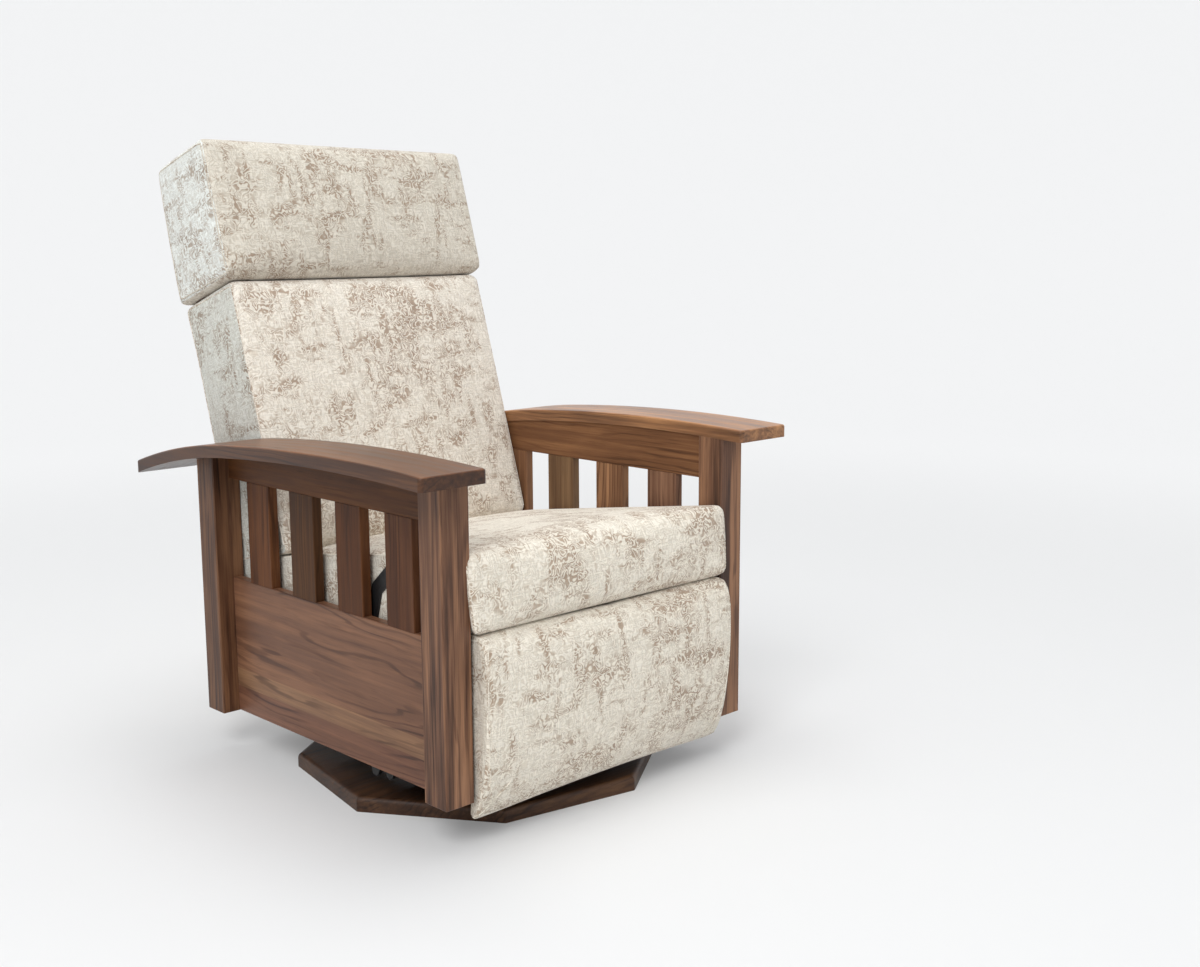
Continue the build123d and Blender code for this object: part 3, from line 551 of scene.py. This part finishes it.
def frame_wood():
    """Hardwood painted dark, as painted shade for the gaps where it shows."""
    finish, tree, shader = new_finish("frame_hardwood_painted_shade", 0.65)
    place = add(tree, "ShaderNodeTexCoord").outputs["Object"]
    grain = cloud(tree, stretched(tree, place, (9, 60, 60)), 1.0, 3, 0.6, 0.5)
    colour = colour_steps(tree, grain, [(0.3, screen_colour(62, 44, 34)),
                                        (0.7, screen_colour(92, 68, 52))])
    tree.links.new(colour, shader.inputs["Base Color"])
    bump(tree, shader, grain, 0.2, 0.0005)
    return finish


def steel(name, colour, roughness, metallic, peel):
    """Metal with a fine skin: coated when it isn't metallic, plated when it is."""
    finish, tree, shader = new_finish(name, roughness, metallic)
    place = add(tree, "ShaderNodeTexCoord").outputs["Object"]
    skin = cloud(tree, place, peel, 2, 0.5)
    darker = (*(0.8 * part for part in colour[:3]), 1.0)
    shades = [(0.35, darker), (0.65, colour)]
    tree.links.new(colour_steps(tree, skin, shades), shader.inputs["Base Color"])
    worn = remap(tree, cloud(tree, place, 35, 3, 0.6), 0.35, 0.65, roughness - 0.07,
                 roughness + 0.07)
    tree.links.new(worn, shader.inputs["Roughness"])
    bump(tree, shader, skin, 0.15, 0.0003)
    return finish


black_coat = steel("black_coat", screen_colour(22, 22, 23), 0.48, 0.0, 900)
bright_plate = steel("bright_plate", screen_colour(74, 74, 77), 0.48, 1.0, 400)
spring_steel = steel("spring_steel", screen_colour(120, 120, 124), 0.38, 1.0, 300)
dipped_vinyl = steel("dipped_vinyl", screen_colour(26, 26, 27), 0.6, 0.0, 1400)
shade_dark_hardwood = frame_wood()
finish_of_slot = {"frame_wood": shade_dark_hardwood, "black_steel": black_coat, "bright_steel": bright_plate,
                  "spring_wire": spring_steel, "grip": dipped_vinyl}
for part in frame["record"]["subparts"]:
    if part["material_slot"] in finish_of_slot:
        redress(part["node"], finish_of_slot[part["material_slot"]])
print("steel and frame wood dressed")

# %% [markdown]
# ## The cloth
#
# The cover is a thick oatmeal chenille. Light raised strokes curl all over it, like a maze, and the
# ground between them is cream, with taupe patches where the pile looks worn away. The strokes are the
# height lines of a fine cloud, which curl round its hills and never cross. The patches are the
# stronger of two clouds, one stretched along each thread direction, so they run up and down or side to
# side. Everything follows the piece's own cloth coordinates, in metres, so it bends and swings with
# the cushion. A tone multiplies the whole by a tint, which is painted light and shade: lighter, darker
# or cooler copies of the cloth for parts that lie in more or less light.

# %% Oatmeal cloth
cloth_light = screen_colour(243, 236, 222)
cloth_ground = screen_colour(225, 216, 200)
cloth_taupe = screen_colour(182, 162, 142)
cloth_deep = screen_colour(150, 128, 108)
stroke_cloud_scale = 62
strokes_per_cloud = 6.5
thread_scale = 560
pile_scale = 420


def oatmeal_cloth(name, start, tone):
    """Raised light strokes that curl over a cream ground with worn taupe patches."""
    finish, tree, shader = new_finish(name, 0.9)
    shader.inputs["Specular IOR Level"].default_value = 0.2
    shader.inputs["Sheen Weight"].default_value = 0.25
    shader.inputs["Sheen Roughness"].default_value = 0.5
    flat = add(tree, "ShaderNodeUVMap", {"uv_map": "cloth"}).outputs[0]
    flat = stretched(tree, flat, (1, 1, 1), (start * 0.73, start * 1.31, start))
    upright = cloud(tree, stretched(tree, flat, (34, 10, 1)), 1.0, 3, 0.60, 0.2)
    level = cloud(tree, stretched(tree, flat, (12, 30, 1)), 1.0, 3, 0.60, 0.2)
    worn = maths(tree, "MAXIMUM", upright, level)
    broad = maths(tree, "SUBTRACT", cloud(tree, flat, 5.0, 2, 0.5), 0.5)
    worn = maths(tree, "ADD", worn, maths(tree, "MULTIPLY", broad, 0.40))
    patch = remap(tree, worn, 0.48, 0.63)
    curl = cloud(tree, flat, stroke_cloud_scale, 1.0, 0.5, 0.7)
    curl = maths(tree, "MULTIPLY", curl, 2 * math.pi * strokes_per_cloud)
    hollow = remap(tree, maths(tree, "SINE", curl), -0.75, 0.55)
    warp = cloud(tree, stretched(tree, flat, (thread_scale, 36, 1)), 1.0, 1, 0.5)
    weft = cloud(tree, stretched(tree, flat, (36, thread_scale, 1)), 1.0, 1, 0.5)
    threads = maths(tree, "MULTIPLY", maths(tree, "ADD", warp, weft), 0.5)
    ground = mixed(tree, patch, cloth_ground, cloth_taupe)
    ground = mixed(tree, remap(tree, worn, 0.58, 0.74, 0.0, 0.45), ground, cloth_deep)
    light = mixed(tree, maths(tree, "MULTIPLY", patch, 0.45), cloth_light, cloth_ground)
    colour = mixed(tree, hollow, light, ground)
    colour = times_grey(tree, colour, remap(tree, threads, 0.38, 0.62, 0.90, 1.08))
    # Painted light and shade: the tone makes this copy of the cloth lighter, darker or cooler.
    colour = mixed(tree, 1.0, colour, tone, "MULTIPLY")
    tree.links.new(colour, shader.inputs["Base Color"])
    pile = cloud(tree, flat, pile_scale, 2, 0.6)
    relief = maths(tree, "ADD", maths(tree, "MULTIPLY", threads, 0.8),
                   maths(tree, "MULTIPLY", pile, 0.5))
    relief = maths(tree, "SUBTRACT", relief, maths(tree, "MULTIPLY", hollow, 0.6))
    bump(tree, shader, relief, 0.5, 0.0012)
    return finish


print("cloth mixed")

# %% [markdown]
# ## The cushions
#
# Each cushion is a block of foam in a sewn cover: one long panel runs over the front, top and
# back, and a flat panel closes each side. Such a cushion is straight at its two side seams and
# full between them. So a bevelled block is crowned, remeshed into even squares, and then blown up
# a little as cloth, with the squares along the side seams held still. Where it lies on wood or
# meets a post it is pressed flat again.
#
# A form function gives the block its own lines before it is blown up, and a press function keeps
# it clear of its neighbours afterwards. The long panel has one tone of the cloth and the side
# panels another, because in the picture they lie in different light.

# %% Places and sizes of the cushions
seat_slope = math.radians(8.5)
back_lean = math.radians(17.0)
seat_place = Matrix.Translation((0, -0.350, 0.355)) @ Matrix.Rotation(-seat_slope, 4, "X")
back_place = Matrix.Translation((0, 0.199, 0.403)) @ Matrix.Rotation(-back_lean, 4, "X")
upright_place = Matrix.Identity(4)
voxel = 0.007
crown_power = 0.75
held_reach = 0.016
cloth_pressure = 4.0
cloth_cap = 0.024
cloth_frames = 20
print("seat slope", round(math.degrees(seat_slope), 1), "back lean",
      round(math.degrees(back_lean), 1), "degrees")

# %% Shape a block


def block(low, high, edge_radius, soft_radii):
    """A bevelled block. soft_radii are those of its edges along X: (side in Y, side in Z) to
    radius, with -1 for the low side and 1 for the high one."""
    shape = bmesh.new()
    bmesh.ops.create_cube(shape, size=1.0)
    size = Vector(high) - Vector(low)
    middle = (Vector(high) + Vector(low)) / 2
    bmesh.ops.scale(shape, verts=shape.verts, vec=size)
    bmesh.ops.translate(shape, verts=shape.verts, vec=middle)
    for (side_y, side_z), radius in soft_radii.items():
        edge = [edge for edge in shape.edges
                if abs(edge.verts[0].co.x - edge.verts[1].co.x) > size.x / 2
                and all((point.co.y - middle.y) * side_y > 0.49 * size.y
                        and (point.co.z - middle.z) * side_z > 0.49 * size.z for point in edge.verts)]
        bmesh.ops.bevel(shape, geom=edge, offset=radius, segments=6, profile=0.5,
                        affect="EDGES", material=-1)
    seams = [edge for edge in shape.edges
             if abs(edge.verts[0].co.x - edge.verts[1].co.x) < size.x / 1000]
    bmesh.ops.bevel(shape, geom=seams, offset=edge_radius, segments=3, profile=0.5,
                    affect="EDGES", material=-1)
    mesh = bpy.data.meshes.new("block")
    shape.to_mesh(mesh)
    shape.free()
    return mesh


def remeshed(name, mesh):
    """The same shape in even squares."""
    piece = in_scene(name, mesh)
    squares = piece.modifiers.new("squares", "REMESH")
    squares.mode = "VOXEL"
    squares.voxel_size = voxel
    return baked(piece)


def baked(piece):
    """Replace a piece's mesh by what its modifiers make."""
    ready = piece.evaluated_get(bpy.context.evaluated_depsgraph_get())
    mesh = bpy.data.meshes.new_from_object(ready)
    piece.modifiers.clear()
    piece.data = mesh
    return piece


def crown(piece, low, high, swell):
    """Push each face out in its middle. swell is (low, high) per axis."""
    middle = (Vector(low) + Vector(high)) / 2
    half = (Vector(high) - Vector(low)) / 2
    for point in piece.data.vertices:
        share = [(point.co[a] - middle[a]) / half[a] for a in range(3)]
        for a in range(3):
            b, c = (a + 1) % 3, (a + 2) % 3
            fullness = max(0.0, 1 - share[b] ** 2) * max(0.0, 1 - share[c] ** 2)
            push = swell[a][1] if share[a] > 0 else swell[a][0]
            point.co[a] += push * share[a] * fullness ** crown_power


print("block tools ready")

# %% Blow up and press


def hold_seams(piece, low, high):
    """Name the points along both side seams, so that the cloth is held there."""
    group = piece.vertex_groups.new(name="seams")
    held = []
    for point in piece.data.vertices:
        x, y, z = point.co
        from_side = min(x - low[0], high[0] - x)
        from_edge = min(y - low[1], high[1] - y, z - low[2], high[2] - z)
        if from_side < held_reach and from_edge < held_reach:
            held.append(point.index)
    group.add(held, 1.0, "ADD")
    return len(held)


def blow_up(piece):
    """Cloth under air pressure for some frames, each point kept within a cap of its start."""
    start = [point.co.copy() for point in piece.data.vertices]
    cloth = piece.modifiers.new("cloth", "CLOTH")
    cloth.settings.quality = 4
    cloth.settings.tension_stiffness = 12
    cloth.settings.compression_stiffness = 12
    cloth.settings.shear_stiffness = 6
    cloth.settings.bending_stiffness = 0.6
    cloth.settings.use_pressure = True
    cloth.settings.uniform_pressure_force = cloth_pressure
    cloth.settings.vertex_group_mass = "seams"
    cloth.settings.effector_weights.gravity = 0
    cloth.collision_settings.use_collision = False
    cloth.point_cache.frame_start = 1
    cloth.point_cache.frame_end = cloth_frames
    for number in range(1, cloth_frames + 1):
        chair_scene.frame_set(number)
    baked(piece)
    chair_scene.frame_set(1)
    furthest = 0.0
    for point, was in zip(piece.data.vertices, start):
        step = point.co - was
        furthest = max(furthest, step.length)
        if step.length > cloth_cap:
            point.co = was + step * (cloth_cap / step.length)
    return furthest


def settle(piece, press):
    """Keep every point inside the faces that the cushion lies against."""
    for point in piece.data.vertices:
        point.co = press(point.co)


def ease(value):
    """A soft step from 0 to 1."""
    value = max(0.0, min(1.0, value))
    return value * value * (3 - 2 * value)


def within(value, low, high):
    """A value kept between two others."""
    return max(low, min(high, value))


print("cloth tools ready")

# %% Lay out the cloth
side_facing = 0.75
rear_facing = 0.6
side_shift = 0.9


def cloth_map(piece, low, high):
    """Cloth coordinates in metres. The long panel runs under, up the front, over the top and
    down behind. rise and over turn softly from one run to the next, so the pattern breaks only at
    the foot of the rear. A panel closes each side, and takes the piece's second finish."""
    sheet = piece.data.uv_layers.new(name="cloth")
    for face in piece.data.polygons:
        on_side = abs(face.normal.x) > side_facing
        behind = face.normal.y > rear_facing
        face.material_index = 1 if on_side else 0
        for corner in face.loop_indices:
            x, y, z = piece.data.vertices[piece.data.loops[corner].vertex_index].co
            deep, down = max(0.0, y - low[1]), high[2] - z
            rise = over = 1.0
            if not behind:
                rise = 2 * ease(3 * (z - low[2]) / (high[2] - low[2]) - 1) - 1
                over = 2 * ease(3 * deep / (high[1] - low[1]) - 1) * ease(rise) - 1
            if on_side:
                sheet.data[corner].uv = (y + math.copysign(side_shift, x), -down)
            else:
                sheet.data[corner].uv = (x, rise * deep + over * down)


print("cloth layout ready")

# %% Put a cushion together


def cushion(name, body, nodes, place, low, high, swell, edge_radius, soft_radii, form, press,
            start, front_painted_light_tint, side_painted_light_tint):
    """One finished cushion in its place on the chair. swell is how far each pair of faces is
    crowned, and start shifts the cloth's pattern."""
    piece = remeshed(name, block(low, high, edge_radius, soft_radii))
    crown(piece, low, high, swell)
    settle(piece, form)
    held = hold_seams(piece, low, high)
    moved = 0.0
    moved = blow_up(piece)
    settle(piece, press)
    soften = piece.modifiers.new("soften", "SUBSURF")
    soften.levels = 1
    soften.render_levels = 1
    baked(piece)
    piece.vertex_groups.clear()
    # The long panel and the side panels get differently tinted copies of the cloth, as painted light
    # and shade.
    dress(piece, oatmeal_cloth(f"cloth_{name}", start, front_painted_light_tint))
    piece.data.materials.append(oatmeal_cloth(f"side_cloth_{name}", start, side_painted_light_tint))
    cloth_map(piece, low, high)
    piece.data.transform(place)
    piece.data.shade_smooth()
    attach(piece, body)
    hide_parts(*nodes)
    print(name, "held", held, "moved", round(moved * 1000, 1), "mm, faces",
          len(piece.data.polygons))
    return piece


print("cushion maker ready")

# %% Seat cushion
seat_low = Vector((-0.2875, 0.0, 0.0))
seat_high = Vector((0.2875, 0.592, 0.130))
seat_flare = 0.048
seat_top = 0.143
seat_top_fall = 0.023
seat_reach = (-0.020, 0.5935)
between_posts = 0.2888
before_posts = 0.3035
post_line = 0.0125


def seat_limit(y):
    """Half the seat's width: between the posts, and bulging round their front corners."""
    return between_posts + (before_posts - between_posts) * ease((post_line + 0.004 - y) / 0.014)


def form_seat(point):
    """The front stands upright, and its corners flare in front of the posts."""
    x, y, z = point
    front = ease((0.10 - y) / 0.10)
    y -= front * 0.012 * z / seat_high.z
    return Vector((x * (1 + seat_flare * ease((0.022 - y) / 0.020)), y, z))


def press_seat(point):
    """Flat underneath and against the posts, and lower under the back."""
    x, y, z = point
    limit = seat_limit(y)
    top = seat_top - seat_top_fall * ease((y - 0.42) / 0.11)
    return Vector((within(x, -limit, limit), within(y, *seat_reach), within(z, 0.0, top)))


seat = cushion(
    "seat_cushion_soft", "chair", ["seat_cushion"], seat_place, seat_low, seat_high,
    swell=((0.002, 0.002), (0.004, 0.0), (0.0, 0.006)), edge_radius=0.010,
    soft_radii={(-1, 1): 0.019, (-1, -1): 0.010, (1, 1): 0.022, (1, -1): 0.012},
    form=form_seat, press=press_seat, start=1.0,
    # Painted shade: the seat's side panels are tinted darker than its front.
    front_painted_light_tint=(0.96, 0.96, 0.96, 1), side_painted_light_tint=(0.84, 0.85, 0.86, 1))

# %% Back cushion
back_low = Vector((-0.2905, -0.006, -0.004))
back_high = Vector((0.2905, 0.1715, 0.5065))
tail_drop = 0.038
gap_fall = 0.005
wider_above_foot = 0.0042
wider_over_arms = 0.0070
back_foot = -0.006
back_roof = 0.5075


def form_back(point):
    """The back's outer cover hangs lower than its front, behind the seat."""
    x, y, z = point
    tail = ease((y - 0.075) / 0.060) * ease((0.10 - z) / 0.10)
    top = max(0.0, y) / back_high.y * ease((z - 0.40) / 0.10)
    return Vector((x, y + 0.008 * top, z - tail_drop * tail - gap_fall * top))


def press_back(point):
    """Narrowest at its foot, widest over the arms, and clear of the headrest."""
    x, y, z = point
    limit = (between_posts + wider_above_foot * ease((z - 0.02) / 0.05)
             + wider_over_arms * ease((z - 0.21) / 0.06))
    roof = back_roof - gap_fall * max(0.0, y) / back_high.y
    return Vector((within(x, -limit, limit), y, within(z, back_foot - tail_drop, roof)))


back = cushion(
    "back_cushion_soft", "back", ["back_cushion", "back_cover"], back_place, back_low, back_high,
    swell=((0.003, 0.003), (0.008, 0.002), (0.0, 0.002)), edge_radius=0.010,
    soft_radii={(-1, 1): 0.014, (-1, -1): 0.016, (1, 1): 0.008, (1, -1): 0.018},
    form=form_back, press=press_back, start=2.0,
    # Painted shade: the back's side panels are tinted darker and cooler than its front.
    front_painted_light_tint=(0.95, 0.95, 0.97, 1), side_painted_light_tint=(0.77, 0.83, 0.88, 1))

# %% Headrest
top_skew = 0.013
head_low = Vector((-0.3000, -0.0155, 0.5105))
head_high = Vector((0.3000, 0.1715, 0.768))
head_floor = 0.5093


def form_head(point):
    """Its top is sewn a little higher on the sitter's right, and its foot reaches further back."""
    x, y, z = point
    share = (z - head_low.z) / (head_high.z - head_low.z)
    behind = max(0.0, y) / head_high.y
    lift = share * (0.001 - top_skew * x) - (1 - share) * behind * gap_fall
    return Vector((x, y + behind * (0.010 - 0.016 * share), z + lift))


def press_head(point):
    """Clear of the back cushion below it."""
    floor = head_floor - gap_fall * max(0.0, point.y) / head_high.y
    return Vector((point.x, point.y, max(floor, point.z)))


headrest = cushion(
    "headrest_soft", "back", ["headrest_cushion", "headrest_cover"], back_place, head_low, head_high,
    swell=((0.002, 0.002), (0.008, 0.002), (0.002, 0.002)), edge_radius=0.010,
    soft_radii={(-1, 1): 0.011, (-1, -1): 0.018, (1, 1): 0.018, (1, -1): 0.008},
    form=form_head, press=press_head, start=3.0,
    # Painted shade and light: the headrest's front is tinted darker, and its sides lighter and cooler.
    front_painted_light_tint=(0.79, 0.79, 0.79, 1), side_painted_light_tint=(0.91, 1.00, 1.10, 1))

# %% Footrest pad
rest_low = Vector((-0.2870, -0.3685, 0.044))
rest_high = Vector((0.2880, -0.3144, 0.3515))
fullest_height = 0.255
board_front = -0.3144
seat_underside = 0.3522
furthest_front = -0.3745
rest_half = 0.2890
rest_flare = 0.0030


def front_share(z):
    """How far the pad's front stands out at a height, as a share: it rolls back to its bottom."""
    if z < fullest_height:
        way, power = (fullest_height - z) / (fullest_height - rest_low.z + 0.001), 2.0
    else:
        way, power = (z - fullest_height) / (rest_high.z - fullest_height + 0.001), 4.0
    return max(0.0, 1 - min(1.0, way) ** power) ** (1 / power)


def form_footrest(point):
    """The front is a shallow barrel, fullest a little above its middle."""
    x, y, z = point
    share = (rest_high.y - y) / (rest_high.y - rest_low.y)
    y = rest_high.y - (rest_high.y - rest_low.y) * share * front_share(z)
    return Vector((x * (1 + 0.012 * ease(share)), y, z))


def press_footrest(point):
    """Flat where it is stapled over the board, and under the seat."""
    x, y, z = point
    limit = rest_half + rest_flare * ease((-0.3355 - y) / 0.006)
    return Vector((within(x, -limit, limit), within(y, furthest_front, board_front),
                   min(z, seat_underside)))


footrest = cushion(
    "footrest_soft", "footrest", ["footrest_pad"], upright_place, rest_low, rest_high,
    swell=((0.001, 0.001), (0.003, 0.0), (0.0, 0.0)), edge_radius=0.010,
    soft_radii={(-1, 1): 0.008, (-1, -1): 0.010},
    form=form_footrest, press=press_footrest, start=4.0,
    # Painted shade: the footrest's side panels are tinted darker than its front.
    front_painted_light_tint=(0.95, 0.95, 0.95, 1), side_painted_light_tint=(0.76, 0.75, 0.74, 1))

# %% [markdown]
# ## The seams
#
# Where the long panel meets a side panel, the sewn edge stands up as a fine ridge. A loop of
# points is dropped onto the finished cushion from outside, square to the rounded edge, so the
# ridge follows every swell. A thin round curve along those points makes the ridge.

# %% Find the seams
seam_radius = 0.0013
seam_points = 150
seam_inset = 0.04
aim_from = 0.05
aim_reach = 0.15


def round_the_block(low, high, share):
    """A point and its outward direction on the block's outline, seen from the side."""
    wide = high[1] - low[1]
    tall = high[2] - low[2]
    along = share * 2 * (wide + tall)
    if along < wide:
        return (low[1] + along, low[2]), (0, -1)
    along -= wide
    if along < tall:
        return (high[1], low[2] + along), (1, 0)
    along -= tall
    if along < wide:
        return (high[1] - along, high[2]), (0, 1)
    along -= wide
    return (low[1], high[2] - along), (-1, 0)


def seam_loop(tree_of_faces, place, low, high, side):
    """Points along one side seam, found by aiming at the edge from outside."""
    middle = (low + high) / 2
    points = []
    for index in range(seam_points):
        (y, z), (out_y, out_z) = round_the_block(low, high, index / seam_points)
        target = Vector((side * high[0], y, z))
        pull = Vector((0, middle[1] - y, middle[2] - z)) * seam_inset
        aim = Vector((side, out_y, out_z)).normalized()
        start = place @ (target + pull + aim * aim_from)
        way = place.to_3x3() @ -aim
        hit = tree_of_faces.ray_cast(start, way, aim_reach)[0]
        if hit is not None:
            points.append(hit)
    return points


print("seam finder ready")

# %% Sew the seams


def sew(piece, body, place, low, high):
    """The two seam ridges of a cushion, as one piece."""
    faces = BVHTree.FromObject(piece, bpy.context.evaluated_depsgraph_get())
    line = bpy.data.curves.new(f"{piece.name}_seams", "CURVE")
    line.dimensions = "3D"
    line.bevel_depth = seam_radius
    line.bevel_resolution = 2
    for side in (-1, 1):
        points = seam_loop(faces, place, low, high, side)
        spline = line.splines.new("POLY")
        spline.points.add(len(points) - 1)
        for spot, found in zip(spline.points, points):
            spot.co = (*found, 1)
        spline.use_cyclic_u = True
    ridge_name = f"{piece.name}_seams"
    drawn = in_scene(ridge_name, line)
    ready = drawn.evaluated_get(bpy.context.evaluated_depsgraph_get())
    mesh = bpy.data.meshes.new_from_object(ready)
    bpy.data.objects.remove(drawn)
    ridge = in_scene(ridge_name, mesh)
    sheet = mesh.uv_layers.new(name="cloth") if not mesh.uv_layers else mesh.uv_layers[0]
    sheet.name = "cloth"
    for face in mesh.polygons:
        for corner in face.loop_indices:
            spot = mesh.vertices[mesh.loops[corner].vertex_index].co
            sheet.data[corner].uv = (spot.y, spot.z)
    mesh.shade_smooth()
    dress(ridge, piece.data.materials[0])
    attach(ridge, body)
    print(ridge.name, "points", [len(spline.points) for spline in line.splines])


sew(seat, "chair", seat_place, seat_low, seat_high)
sew(back, "back", back_place, back_low, back_high)
sew(headrest, "back", back_place, head_low, head_high)
sew(footrest, "footrest", upright_place, rest_low, rest_high)
